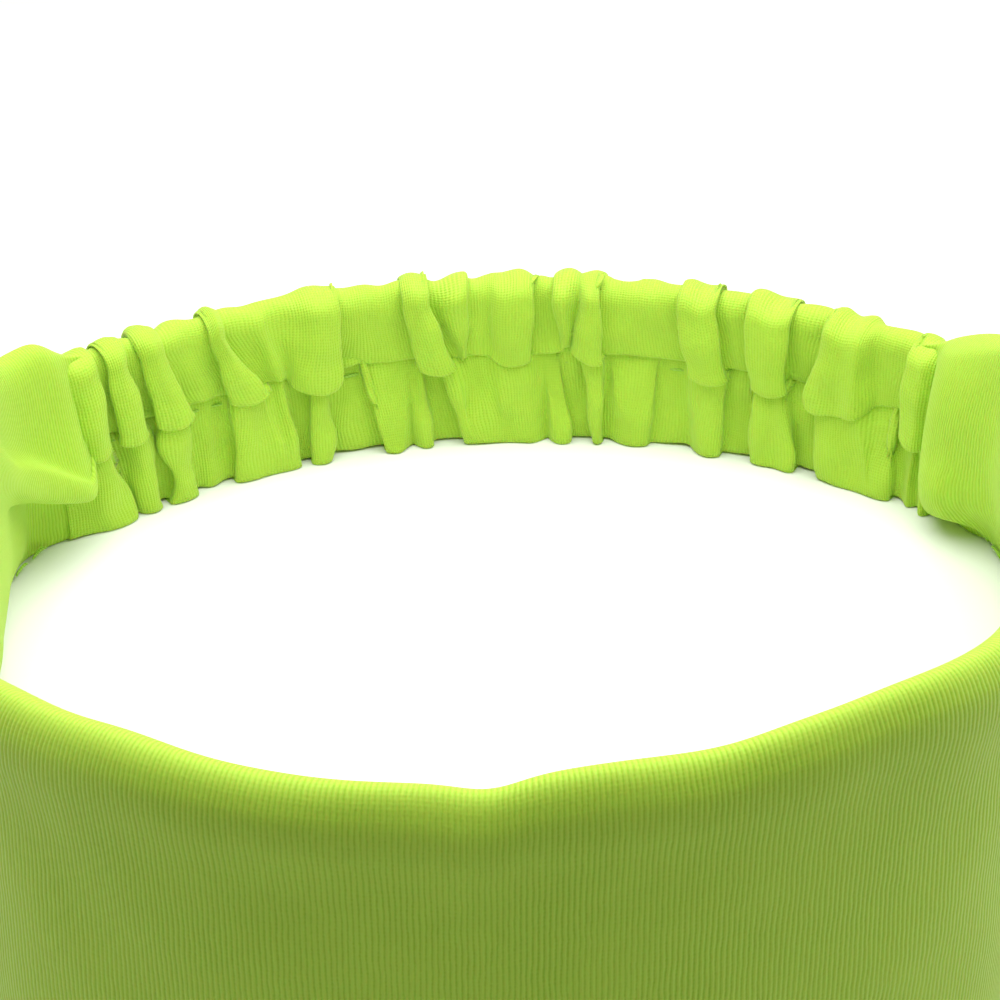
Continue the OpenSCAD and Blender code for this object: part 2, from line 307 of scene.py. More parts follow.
def pleat_corners(pleats):
    """Corners of a row of pleats and of the flat cloth between them: how each is made, its
    place and stand-out at three heights, and the height of the lower edge."""

    def flat(places, unevenness=0.0):
        return ("soft", places, np.full(3, FLAT_CLOTH + unevenness), FLAT_EDGE)

    def levels(bottom, top):
        return np.array([bottom, (bottom + top) / 2, top])

    corners = [flat(np.full(3, -CASING_END))]
    for i, (bottom, top, stand_out, edge, left, right) in enumerate(pleats):
        depth = levels(*stand_out)
        left_edge, right_edge = edge or (0.0, 0.0)

        def corner(part, share, kind="soft", rise=0.0):
            place = levels(*(ends[0] + (ends[1] - ends[0]) * part for ends in (bottom, top)))
            return (kind, place, share * depth, left_edge + (right_edge - left_edge) * part + rise)

        corners.append(corner(0.0, 0.85, "left", 0.5) if left == "sharp" else corner(0.0, 0.55, rise=0.5))
        # across the face: parts of the width, and the share of the stand-out there
        face = ((0.3, 0.95), (0.6, 1.05))
        if bottom[1] - bottom[0] > WIDE_PLEAT:
            face = ((0.25, 1.0), (0.55, 0.8), (0.85, 0.95))
        for part, share in face:
            corners.append(corner(part, share))
        corners.append(corner(1.0, 0.85, "right", 0.5) if right == "sharp" else corner(1.0, 0.4, rise=0.5))
        # the flat cloth up to the next pleat, with a low swell where there is room for one
        start = corners[-1][1]
        after = pleats[i + 1] if i + 1 < len(pleats) else ((CASING_END, 0), (CASING_END, 0))
        end = levels(after[0][0], after[1][0])
        room = float((end - start).min())
        if room > 2.0:
            corners.append(flat(start + 0.5))
            corners.append(flat(start + (end - start) * 0.4, 0.3))
            corners.append(flat(end - 0.5))
        else:
            corners.append(flat((start + end) / 2))
    corners.append(flat(np.full(3, CASING_END + 0.2)))
    return corners


def fold_lines(pleats):
    """Places and stand-outs of a row of pleats' corners at three heights, the height of the
    lower edge and the cloth's length at each. A sharp side hangs over what is beside it."""
    folds = pleat_corners(pleats)
    rows = []
    for i, (kind, place, depth, low) in enumerate(folds):
        if kind == "soft":
            rows.append((place, depth, low))
            continue
        side = 1 if kind == "right" else -1
        beside, beside_low = folds[i + side][2], folds[i + side][3]
        drop = np.maximum(depth - beside, 0.0)
        tuck = np.minimum(0.55 * drop, 1.5)
        corners = [
            (place - side * 0.9, depth + 0.1, low),
            (place, depth - 0.16 * drop, low),
            (place - side * 0.3 * tuck, beside + 0.42 * drop, (low + beside_low) / 2),
            (place - side * tuck, beside + 0.14 * drop, beside_low),
        ]
        rows.extend(corners if side > 0 else corners[::-1])
    places, depths, lows = (np.array(values) for values in zip(*rows))
    steps = np.hypot(np.diff(places, axis=0), np.diff(depths, axis=0)).mean(axis=1)
    return places, depths, lows, np.concatenate([[0], np.cumsum(steps)])


def laid_out(pleats, count, rounding):
    """The pleats sampled evenly along the cloth: places and stand-outs at three heights, the
    height of the lower edge, and the cloth's length."""
    places, depths, lows, lengths = fold_lines(pleats)
    even = np.linspace(0, lengths[-1], count)
    width = rounding / (even[1] - even[0])

    def sample(values):
        return np.interp(even, lengths, values)

    place = [smoothed(sample(places[:, k]), width) for k in range(3)]
    depth = [smoothed(sample(depths[:, k]), width) for k in range(3)]
    return np.array(place), np.array(depth), smoothed(sample(lows), 2.4 * width), lengths[-1]


def between(levels, part):
    """A smooth value between three levels, where part runs from 0 to 1."""
    low, middle, high = levels
    return low * (1 - part) * (1 - 2 * part) + middle * 4 * part * (1 - part) + high * part * (2 * part - 1)


def mesh_piece(name, points, faces, uvs=None):
    """A smooth-shaded mesh object from points in metres."""
    mesh = bpy.data.meshes.new(name)
    mesh.from_pydata(points.tolist(), [], faces)
    mesh.polygons.foreach_set("use_smooth", np.ones(len(mesh.polygons), bool))
    if uvs is not None:
        layer = mesh.uv_layers.new(name="knit")
        layer.data.foreach_set("uv", np.asarray(uvs, dtype=np.float32).ravel())
    mesh.validate()
    mesh.update()
    piece = bpy.data.objects.new(name, mesh)
    bpy.context.scene.collection.objects.link(piece)
    return piece


def tube_normals(points):
    """Unit normals of a tube's points[along, round], pointing out of the tube."""
    along = np.gradient(points, axis=0)
    round_tube = np.roll(points, -1, axis=1) - np.roll(points, 1, axis=1)
    normals = np.cross(along, round_tube)
    return normals / np.maximum(np.linalg.norm(normals, axis=2, keepdims=True), 1e-12)


def cloth_tube(name, points, along_cloth, thickness, outward=1.0):
    """A tube of cloth with a real thickness. points[along, round] is its outside in
    millimetres, and its UVs are millimetres along and round the cloth."""
    count, loop = points.shape[:2]
    normals = tube_normals(points) * outward
    soft = smoothed(smoothed(normals, 2.0, axis=0), 1.5, axis=1, wrap=True)
    soft /= np.maximum(np.linalg.norm(soft, axis=2, keepdims=True), 1e-12)
    picked = sorted(set(range(0, count, 3)) | {count - 1})
    inside = (points - thickness * soft)[picked]
    inside[..., 2] = np.maximum(inside[..., 2], 0.05)
    around = np.linalg.norm(np.roll(points, -1, axis=1) - points, axis=2).mean(axis=0)
    round_cloth = np.concatenate([[0], np.cumsum(around)])

    def grid(rows, first, flip, u_of):
        corner = first + np.arange(rows * loop).reshape(rows, loop)
        a, b = corner[:-1], corner[1:]
        quads = np.stack([a, b, np.roll(b, -1, axis=1), np.roll(a, -1, axis=1)], axis=-1)
        u = np.broadcast_to(u_of[:, None], (rows, loop))
        v0 = np.broadcast_to(round_cloth[None, :-1], (rows, loop))
        v1 = np.broadcast_to(round_cloth[None, 1:], (rows, loop))
        uv = np.stack([
            np.stack([u[:-1], v0[:-1]], -1), np.stack([u[1:], v0[1:]], -1),
            np.stack([u[1:], v1[1:]], -1), np.stack([u[:-1], v1[:-1]], -1)], axis=2)
        quads, uv = quads.reshape(-1, 4), uv.reshape(-1, 4, 2)
        return (quads[:, ::-1], uv[:, ::-1]) if flip else (quads, uv)

    flip = outward < 0
    out_faces, out_uv = grid(count, 0, flip, along_cloth)
    in_faces, in_uv = grid(len(picked), count * loop, not flip, along_cloth[picked])
    rims, rim_uv = [], []
    for outer_row, inner_row, turned in ((0, 0, not flip), (count - 1, len(picked) - 1, flip)):
        a = outer_row * loop + np.arange(loop)
        b = count * loop + inner_row * loop + np.arange(loop)
        quads = np.stack([a, b, np.roll(b, -1), np.roll(a, -1)], axis=-1)
        rims.append(quads[:, ::-1] if turned else quads)
        rim_uv.append(np.zeros((loop, 4, 2)) + along_cloth[outer_row])
    faces = np.concatenate([out_faces, in_faces, *rims])
    uvs = np.concatenate([out_uv, in_uv, *rim_uv])
    everything = np.concatenate([points.reshape(-1, 3), inside.reshape(-1, 3)])
    return mesh_piece(name, everything * MM, faces.tolist(), uvs)


# ---------------------------------------------------------------- the gathered casing


def casing_surface(rounding):
    """The outside of the gathered casing as points[along, round] in millimetres, from the seam
    up the inside, over the top, down the outside and back up to the seam, with the cloth's
    length at each point along it."""
    count = 1000
    up_place, up_depth, lower_edge, length = laid_out(UPPER_PLEATS, count, rounding)
    low_place, low_depth, _, _ = laid_out(LOWER_PLEATS, count, 1.3 * rounding)
    # between its pleats the lower cloth goes back behind the upper edge
    low_depth[2] = low_depth[2] - 0.8 * np.clip(1.5 - low_depth[2], 0, 1)
    low_depth[1] = low_depth[1] - 0.4 * np.clip(1.5 - low_depth[1], 0, 1)
    # the outside goes in under the band at both joins, from about where the elastic ends
    closing = 2.6 * np.clip((np.abs(up_place[2]) - 65.0) / 4.0, 0, 1)
    cloth = np.linspace(0, length, count)
    top_place, top_depth = up_place[2], up_depth[2]
    crown = CROWN_HEIGHT - 0.017 * top_place + 0.5 * smoothed(top_depth, 2.0)
    crown = np.maximum(crown + 0.2 * waves(cloth, 11, 5, 11), LOWEST_CROWN)
    # the upper folds' lower edge and stand-out above each place of the lower folds
    order = np.argsort(up_place[0])
    edge_above = smoothed(np.interp(low_place[2], up_place[0][order], lower_edge[order]), 2.0)
    depth_above = smoothed(np.interp(low_place[2], up_place[0][order], up_depth[0][order]), 2.0)
    rows = []

    def row(place, radius, height):
        rows.append(on_casing(place, radius, height))

    # folds never run dead straight: each leans a little one way and back again
    upper_lean = 0.2 * waves(cloth, 71, 7, 18)
    lower_lean = 0.28 * waves(cloth, 73, 6, 15)
    seam_place = (up_place[0] + low_place[2]) / 2
    row(seam_place, INNER_WALL + 0.6, 0.5 * (edge_above + lower_edge) + 1.9)
    row(0.3 * seam_place + 0.7 * up_place[0], INNER_WALL + 0.2, lower_edge + 1.5)
    # round the lower edge of the upper folds
    edge_depth = up_depth[0]
    for back, up in ((1.5, 0.9), (1.0, 0.25), (0.6, 0.0), (0.2, 0.2), (0.03, 0.6)):
        depth = np.maximum(edge_depth - back, -0.1 + 0.2 * (1.5 - back))
        row(up_place[0], INNER_WALL - depth, lower_edge + up)
    # up the inner face to the top roll
    shoulder = crown - CROWN_ROLL
    for part in np.linspace(0.03, 1.0, 34)[1:]:
        bulge = 0.35 * math.sin(math.pi * part)
        depth = between(up_depth, part)
        height = lower_edge + (shoulder - lower_edge) * part
        lean = upper_lean * math.sin(2 * math.pi * part) * np.clip(1.2 - part, 0, 1)
        place = between(up_place, part) + lean
        row(place, INNER_WALL - depth * (1 + 0.1 * bulge) - bulge * np.clip(depth / 3, 0, 1), height)
    # over the top
    wall = OUTER_WALL + 0.25 - closing
    sway = 0.3 * waves(cloth, 5, 6, 13)
    inner_top = INNER_WALL - top_depth
    outer_top = wall + 0.6 * top_depth + sway
    for turn in np.radians(np.linspace(10, 170, 13)):
        middle = (inner_top + outer_top) / 2
        half = (outer_top - inner_top) / 2
        row(top_place, middle - half * math.cos(turn), shoulder + CROWN_ROLL * math.sin(turn))
    # down the outside
    for part in np.linspace(0, 1, 30)[1:]:
        ease = part * part * (3 - 2 * part)
        place = (1 - ease) * top_place + ease * low_place[0]
        place = place + 1.1 * math.sin(math.pi * part) * waves(cloth, 23, 14, 30)
        depth = (1 - ease) * top_depth + ease * low_depth[0]
        own = 0.45 * waves(cloth, 31, 6, 12) * math.sin(math.pi * part)
        row(place, wall + 0.55 * depth + own + (1 - part) * sway, (1 - part) * shoulder + part * 1.3)
    # under the bottom
    lifted = 0.04 + 0.3 * np.clip(1.6 - low_depth[0], 0, 1.6)
    outer_end = wall + 0.55 * low_depth[0]
    inner_end = INNER_WALL - low_depth[0]
    flat_parts = ((part, 0.0) for part in (0.32, 0.5, 0.68, 0.9))
    for part, up in ((0.04, 0.55), (0.14, 0.15), *flat_parts, (0.99, 0.1)):
        row(low_place[0], (1 - part) * outer_end + part * inner_end, lifted + up)
    # up the lower folds to the seam
    for part in np.linspace(0, 1, 22):
        depth = between(low_depth, part)
        room = depth_above - 0.75 + 3.0 * (1 - part)
        depth = np.minimum(depth, room)
        place = between(low_place, part) + lower_lean * math.sin(2 * math.pi * part)
        row(place, INNER_WALL - depth, (1 - part) * (lifted + 0.4) + part * (edge_above + 0.9))
    row(0.5 * (low_place[2] + seam_place), INNER_WALL + 0.35 + 0 * cloth, edge_above + 1.5)
    points = np.stack(rows, axis=1)
    points = smoothed(points, 0.6, axis=1, wrap=True)
    normals = tube_normals(points)
    points = points + (0.13 * ripples(points, 3, 4.0, 11.0))[..., None] * normals
    points[..., 2] = np.maximum(points[..., 2], FLOOR_GAP)
    return settled(points), cloth


def build_casing(sizes, colours):
    """The gathered tube of rib knit round the elastic."""
    points, cloth = casing_surface(sizes.fold_rounding / MM)
    piece = cloth_tube("back_casing_cloth", points, cloth, sizes.cloth_thickness / MM, tube_side(points))
    piece.data.materials.append(
        rib_knit("gathered_rib_jersey", sizes.casing_rib_pitch, 0.5, sizes, colours))
    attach(piece, "root")
    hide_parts("back_casing")


def tube_side(points):
    """1 if tube_normals points out of the tube, and -1 if into it."""
    centre = points.mean(axis=1, keepdims=True)
    return 1.0 if float(((points - centre) * tube_normals(points)).sum()) > 0 else -1.0


# ---------------------------------------------------------------- the front band


def polar(radius, degrees):
    """The point at this distance and direction from the origin."""
    return radius * np.array([math.cos(math.radians(degrees)), math.sin(math.radians(degrees))])


def band_arcs():
    """The inside of the band's right half as arcs that run smoothly into one another, each as
    its centre's x and y, its radius, and its first and last angle in degrees."""
    casing_centre = np.array([0.0, CASING_MIDDLE_Y])
    forehead = casing_centre + np.array([0.0, CASING_RADIUS - HEAD_LENGTH + FOREHEAD_RADIUS])
    forehead_end = math.degrees(FOREHEAD_LENGTH / 2 / FOREHEAD_RADIUS) - 90.0
    corner = forehead + polar(FOREHEAD_RADIUS - CORNER_RADIUS, forehead_end)
    join_angle = 90.0 - math.degrees(CASING_HALF / CASING_RADIUS)
    shoulder = casing_centre + polar(CASING_RADIUS - SHOULDER_RADIUS, join_angle)
    # the side arc meets the shoulder and the corner without a kink
    to_shoulder = SIDE_RADIUS - SHOULDER_RADIUS
    to_corner = SIDE_RADIUS - CORNER_RADIUS
    across = corner - shoulder
    gap = float(np.linalg.norm(across))
    turn = math.acos((gap**2 + to_shoulder**2 - to_corner**2) / (2 * gap * to_shoulder))
    side_start = math.degrees(math.atan2(across[1], across[0]) - turn) + 180.0
    side = shoulder - polar(to_shoulder, side_start)
    side_end = math.degrees(math.atan2(corner[1] - side[1], corner[0] - side[0]))
    return (
        (*forehead, FOREHEAD_RADIUS, -90.0, forehead_end),
        (*corner, CORNER_RADIUS, forehead_end, side_end),
        (*side, SIDE_RADIUS, side_end, side_start),
        (*shoulder, SHOULDER_RADIUS, side_start, join_angle),
    )


def band_outline(step=0.5, past=2.5):
    """Points along the inside of the band from the left join to the right one, and a little
    past both, with their outward directions and distances from the middle."""
    places, outs = [], []
    arcs = band_arcs()
    for arc in arcs:
        x, y, radius, first, last = arc
        if arc is arcs[-1]:
            last += math.degrees(past / radius)
        count = max(4, int(round(math.radians(last - first) * radius / step)))
        angles = np.radians(np.linspace(first, last, count + 1))[1:]
        outs.append(np.stack([np.cos(angles), np.sin(angles)], axis=1))
        places.append(np.array([x, y]) + radius * outs[-1])
    places, outs = np.concatenate(places), np.concatenate(outs)
    middle = np.array([[0.0, arcs[0][1] - arcs[0][2]]])
    mirror = np.array([-1.0, 1.0])
    places = np.concatenate([places[::-1] * mirror, middle, places])
    outs = np.concatenate([outs[::-1] * mirror, [[0.0, -1.0]], outs])
    steps = np.linalg.norm(np.diff(places, axis=0), axis=1)
    lengths = np.concatenate([[0], np.cumsum(steps)])
    return places, outs, lengths - lengths[len(lengths) // 2]


def band_top(y):
    """Height of the band's top fold on its even slope."""
    return BAND_HIGH[2] - BAND_SLOPE_RADIUS + np.sqrt(BAND_SLOPE_RADIUS**2 - (y - BAND_LOW[1]) ** 2)


def even_section(height):
    """The inner face of the band where nothing disturbs it."""
    return ((0.6, 0.5), (0.0, 0.12 * height), (0.0, 0.3 * height), (0.0, 0.5 * height),
            (0.0, 0.7 * height), (0.05, 0.82 * height), (-0.1, height - 5.0), (0.25, height - 1.5))


def band_surface():
    """The outside of the front band as points[along, round] in millimetres, with the distance
    of each along it from the middle."""
    places, outs, along = band_outline()
    tops = band_top(places[:, 1])
    for middle, half_width, height in FRONT_SWELLS:
        tops = tops + height * np.exp(-(((along - middle) / half_width) ** 2))
    stations, sections = [], []
    for side, ends in ((-1, LEFT_END), (1, RIGHT_END)):
        for distance, top, face in ends:
            stations.append(side * (BAND_HALF - distance))
            sections.append([(0, 0, top)] + [(*point, 0) for point in face])
    reach = BAND_HALF - ENDS_REACH
    for place in np.linspace(-reach, reach, 129):
        top = float(np.interp(place, along, tops))
        stations.append(place)
        sections.append([(0, 0, top)] + [(*point, 0) for point in even_section(top)])
    order = np.argsort(stations)
    stations = np.array(stations)[order]
    sections = np.array(sections)[order]

    def at(values):
        return smoothed(np.interp(along, stations, values), 2.2)

    top = at(sections[:, 0, 2])
    inner = [(at(sections[:, k, 0]), at(sections[:, k, 1])) for k in range(1, 9)]
    from_join = BAND_HALF - np.abs(along)
    near_join = np.exp(-np.clip(from_join, 0, None) / 9.0)
    thickness = BAND_THICKNESS + 0.25 * waves(along, 41, 30, 80) * np.clip(from_join / 20, 0, 1)
    controls = [(np.maximum(0.5 * thickness, inner[0][0] + END_THICKNESS / 2), 0 * along)] + inner
    controls.append((0.5 * thickness, top))
    controls.append((thickness - 0.3, top - 1.5))
    # down the outside, with a bead under the top fold and a faint groove under the bead
    for k, part in enumerate((0.92, 0.8, 0.55, 0.3, 0.12), 1):
        gather = 0.8 * near_join * waves(along + 7.0 * k, 50 + k, 7, 15)
        spread = np.maximum(thickness, inner[6 - k][0] + END_THICKNESS)
        bead = {1: 0.55, 2: -0.25}.get(k, 0.0)
        height = top - 5.0 if k == 1 else part * top
        controls.append((spread + gather + bead + 0.35 * math.sin(math.pi * part), height))
    controls.append((np.maximum(thickness, inner[0][0] + END_THICKNESS) - 0.5, 0.5 + 0 * along))
    out = np.stack([c[0] for c in controls], axis=1)
    up = np.stack([c[1] for c in controls], axis=1)
    out, up = round_spline(out, 9), round_spline(up, 9)
    sway = 0.3 * waves(along, 61, 30, 70)[:, None] * np.clip(from_join / 25, 0, 1)[:, None] * (up / 60)
    out = out + sway
    across = places[:, None, :] + out[..., None] * outs[:, None, :]
    points = np.concatenate([across, np.maximum(up, FLOOR_GAP)[..., None]], axis=2)
    normals = tube_normals(points)
    points = points + (0.09 * ripples(points, 7, 9, 26))[..., None] * normals
    points[..., 2] = np.maximum(points[..., 2], FLOOR_GAP)
    return settled(points), along


def round_spline(values, steps):
    """Closed smooth curves through values[:, control] with a number of steps between controls."""
    before, after, later = (np.roll(values, shift, axis=1) for shift in (1, -1, -2))
    parts = []
    for t in np.arange(steps) / steps:
        parts.append(0.5 * (2 * values + (after - before) * t
                            + (2 * before - 5 * values + 4 * after - later) * t**2
                            + (3 * values - before - 3 * after + later) * t**3))
    return np.stack(parts, axis=2).reshape(len(values), -1)


def build_band(sizes, colours):
    """The wide folded tube of rib knit round the forehead and the sides."""
    points, along = band_surface()
    piece = cloth_tube(
        "front_band_cloth", points, along - along[0], sizes.cloth_thickness / MM, tube_side(points))
    piece.data.materials.append(rib_knit("nylon_rib_jersey", sizes.rib_pitch, 0.08, sizes, colours))
    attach(piece, "root")
    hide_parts("front_band")


# ---------------------------------------------------------------- elastic and stitches


def build_elastic(sizes, colours):
    """The woven elastic inside the casing, with a rib for each rubber thread."""
    half = (ELASTIC_HIGH[0] - ELASTIC_LOW[0]) / 2
    reach = math.asin(half / ELASTIC_OUTER) * CASING_RADIUS
    along = np.linspace(-reach, reach, 261)
    width = sizes.elastic_width / MM
    low = float(ELASTIC_LOW[2]) - 0.8  # it sinks a little in the soft casing
    steps = 76
    heights = low + np.linspace(0, width, steps)
    rubber_threads = 25
    rib = 0.07 * np.cos(np.linspace(0, 2 * math.pi * rubber_threads, steps))
    edge = np.clip(np.minimum(heights - low, low + width - heights) / 0.5, 0, 1) ** 0.5
    face = (0.72 + rib) * (0.25 + 0.75 * edge)
    loop_r = np.concatenate([ELASTIC_RADIUS - face, (ELASTIC_RADIUS + face)[::-1]])
    loop_z = np.concatenate([heights, heights[::-1]])
    pinch = 0.04 * np.sin(np.arange(len(along)) * 2.2)
    points = np.stack([on_casing(along, radius + pinch * (1 if radius > ELASTIC_RADIUS else -1), height)
                       for radius, height in zip(loop_r, loop_z)], axis=1)
    points = settled(points)
    count, loop = points.shape[:2]
    corner = np.arange(count * loop).reshape(count, loop)
    a, b = corner[:-1], corner[1:]
    quads = np.stack([a, b, np.roll(b, -1, axis=1), np.roll(a, -1, axis=1)], axis=-1).reshape(-1, 4)
    if tube_side(points) < 0:
        quads = quads[:, ::-1]
        ends = [corner[0].tolist(), corner[-1][::-1].tolist()]
    else:
        ends = [corner[0][::-1].tolist(), corner[-1].tolist()]
    piece = mesh_piece("elastic_webbing", points.reshape(-1, 3) * MM, quads.tolist() + ends)
    piece.data.materials.append(woven_elastic(colours))
    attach(piece, "root")
    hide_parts("elastic")


def stitch_row(name, node, starts, ends, sinks, sizes, colours):
    """A piece of separate stitches. Each is a thread that comes up, runs from start to end and
    goes down towards sink."""
    radius = sizes.thread_width / MM / 2
    points, faces = [], []
    rings, sides = 9, 8
    for start, end, sink in zip(starts, ends, sinks):
        axis = end - start
        length = np.linalg.norm(axis)
        axis = axis / length
        sink = sink - axis * float(sink @ axis)
        sink = sink / np.linalg.norm(sink)
        across = np.cross(axis, sink)
        first = len(points)
        for i in range(rings):
            part = i / (rings - 1)
            bow = 1 - math.sin(math.pi * part) ** 0.6
            centre = start + axis * length * part + sink * (bow * 1.5 * radius)
            thin = 0.55 + 0.45 * math.sin(math.pi * part) ** 0.4
            for k in range(sides):
                turn = 2 * math.pi * k / sides + 1.2 * part
                ply = 1 + 0.12 * math.cos(2 * turn - 9 * part)
                around = math.cos(turn) * across + math.sin(turn) * sink
                points.append(centre + radius * thin * ply * around)
        for i in range(rings - 1):
            for k in range(sides):
                a, b = first + i * sides + k, first + i * sides + (k + 1) % sides
                faces.append([a, b, b + sides, a + sides])
        faces.append([first + k for k in range(sides)][::-1])
        faces.append([first + (rings - 1) * sides + k for k in range(sides)])
    piece = mesh_piece(name, settled(np.array(points)) * MM, faces)
    piece.data.materials.append(sewing_thread(colours))
    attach(piece, "root")
    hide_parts(node)


def build_stitches(sizes, colours):
    """All the rows of stitches."""

    def sewn(name, node, places, half, radius, heights, rise=0.0):
        """Stitches on the casing that reach half of their length to either side of their
        places, and rise up and down."""
        start = on_casing(places - half, radius, heights - rise)
        end = on_casing(places + half, radius, heights + rise)
        sink = on_casing(places, radius + 1, heights) - on_casing(places, radius, heights)
        stitch_row(name, node, start, end, sink, sizes, colours)

    # along the casing's seam, tucked under the upper folds
    middles = np.linspace(-CASING_HALF + 3, CASING_HALF - 3, 32)
    sewn("casing_seam_stitches", "casing_seam_thread", middles, 1.4, INNER_WALL + 0.1, 13.4)
    for side, word in ((-1, "left"), (1, "right")):
        # up each join
        heights = np.linspace(2.2, 25.8, 9)
        place = side * (CASING_HALF + 0.6) + 0 * heights
        sewn(f"join_stitches_{word}", f"join_thread_{word}", place, 1.2, INNER_WALL - 0.3, heights)
        # two columns through each end of the elastic
        heights = np.tile(np.linspace(3.6, 24.6, 6), 2)
        place = side * (60.2 - np.repeat([0.0, 2.2], 6))
        sewn(f"elastic_tack_{word}_stitches", f"elastic_tack_{word}", place, 0.2, INNER_WALL + 1.05,
             heights, rise=1.0)
    # inside the band's lower fold
    places, outs, along = band_outline()
    middles = np.arange(-172.0, 172.1, 4.2)

    def in_fold(at):
        across = [np.interp(at, along, places[:, k] + 2.2 * outs[:, k]) for k in range(2)]
        return np.stack([*across, 1.5 + 0 * at], axis=1)

    ahead = in_fold(middles + 1.5)
    behind = 2 * in_fold(middles) - ahead
    down = np.tile([0.0, 0.0, -1.0], (len(middles), 1))
    stitch_row("front_band_seam_stitches", "front_band_seam_thread", behind, ahead, down, sizes, colours)


# ---------------------------------------------------------------- materials


def add(tree, kind, links=(), **settings):
    """Adds a node, sets its properties and unlinked sockets, and links its inputs."""
    node = tree.nodes.new(kind)
    for name, value in settings.items():
        if hasattr(node, name):
            setattr(node, name, value)
        else:
            node.inputs[name.replace("_", " ")].default_value = value
    for socket, source in dict(links).items():
        tree.links.new(source, node.inputs[socket])
    return node


def new_material(name):
    """An empty node material and its output."""
    material = bpy.data.materials.new(name)
    material.use_nodes = True
    material.node_tree.nodes.clear()
    return material, material.node_tree, add(material.node_tree, "ShaderNodeOutputMaterial")


def colour(rgb):
    return (*rgb, 1.0)


def cloth_shader(tree, output, tone, relief, shades, roughness, bump, darkest=0.0, **settings):
    """Ends a material of thread or cloth. Tone picks a colour between two shades, the first of
    them up to darkest, and relief makes the roughness, from its valleys to its tops, and the
    bump, whose strength and distance are given."""
    tint = add(tree, "ShaderNodeValToRGB", {0: tone})
    valley, crest = tint.color_ramp.elements
    valley.position = darkest
    valley.color, crest.color = (colour(shade) for shade in shades)
    dull = add(tree, "ShaderNodeMapRange", {0: relief})
    dull.inputs[3].default_value, dull.inputs[4].default_value = roughness
    strength, distance = bump
    uneven = add(tree, "ShaderNodeBump", {"Height": relief}, Strength=strength, Distance=distance)
    shader = add(
        tree, "ShaderNodeBsdfPrincipled",
        {"Base Color": tint.outputs[0], "Roughness": dull.outputs[0], "Normal": uneven.outputs[0]},
        **settings)
    tree.links.new(shader.outputs[0], output.inputs[0])


def scaled_sum(tree, first, factor, second):
    """The output of first times factor plus second."""
    node = add(tree, "ShaderNodeMath", {0: first, 2: second}, operation="MULTIPLY_ADD")
    node.inputs[1].default_value = factor
    return node.outputs[0]


def rib_knit(name, rib_pitch, course_share, sizes, colours):
    """Matt nylon and elastane rib jersey: fine upright ribs that follow every fold, crossed by
    faint rows of stitches, with a short soft bloom at glancing angles. Where the cloth is
    pulled flat its rows of stitches hardly show, and where it is gathered they do. Its colour
    is darker in the valleys between the ribs and the rows, which is painted shade."""
    material, tree, output = new_material(name)
    uv = add(tree, "ShaderNodeUVMap", uv_map="knit")
    wander = add(
        tree, "ShaderNodeTexNoise", {"Vector": uv.outputs[0]}, noise_dimensions="2D", Scale=0.35, Detail=2.0)
    split = add(tree, "ShaderNodeSeparateXYZ", {0: uv.outputs[0]})

    def wave(source, pitch, drift):
        turned = add(
            tree, "ShaderNodeMath", {0: scaled_sum(tree, wander.outputs[0], drift, source)},
            operation="MULTIPLY")
        turned.inputs[1].default_value = 2 * math.pi / pitch
        swing = add(tree, "ShaderNodeMath", {0: turned.outputs[0]}, operation="SINE")
        level = add(tree, "ShaderNodeMath", {0: swing.outputs[0]}, operation="MULTIPLY_ADD")
        level.inputs[1].default_value = level.inputs[2].default_value = 0.5
        return level.outputs[0]

    ribs = wave(split.outputs[0], rib_pitch / MM, 0.25)
    courses = wave(split.outputs[1], sizes.course_pitch / MM, 0.2)
    knit = scaled_sum(tree, courses, course_share, ribs)
    # single fibres, drawn coarser than the 0.02 mm they are so that they show
    position = add(tree, "ShaderNodeTexCoord").outputs["Object"]
    fibres = add(tree, "ShaderNodeTexNoise", {"Vector": position}, Scale=2600.0, Detail=3.0)
    cloudy = add(tree, "ShaderNodeTexNoise", {"Vector": position}, Scale=90.0, Detail=2.0)
    height = scaled_sum(tree, fibres.outputs[0], 0.5, knit)
    # the colour follows the knit's relief: darker in the valleys of the ribs and rows as painted shade,
    # under a cloudy tone that the yarn itself has
    shade = scaled_sum(tree, cloudy.outputs[0], 0.5, height)
    cloth_shader(
        tree, output, shade, height, (colours.painted_groove_shade, colours.rib), (0.82, 0.62), (0.6, 0.00014), 0.25,
        IOR=1.53, Specular_IOR_Level=0.25, Sheen_Weight=0.18, Sheen_Roughness=0.5,
        Sheen_Tint=colour(linear_colour("#EEF8C4")), Subsurface_Weight=0.25, Subsurface_Scale=0.0012)
    return material


def sewing_thread(colours):
    """Two-ply spun polyester: a little brighter than the knit, with the twist of its plies."""
    name = "polyester_thread"
    if name in bpy.data.materials:
        return bpy.data.materials[name]
    material, tree, output = new_material(name)
    position = add(tree, "ShaderNodeTexCoord").outputs["Object"]
    # plies lie about 0.35 mm apart along the thread
    plies = add(tree, "ShaderNodeTexWave", {"Vector": position}, Scale=900.0, Distortion=1.5,
                bands_direction="DIAGONAL")
    cloth_shader(
        tree, output, plies.outputs["Color"], plies.outputs["Fac"],
        ([0.75 * channel for channel in colours.thread], colours.thread), (0.6, 0.4), (0.5, 0.00008),
        IOR=1.58, Sheen_Weight=0.2)
    return material


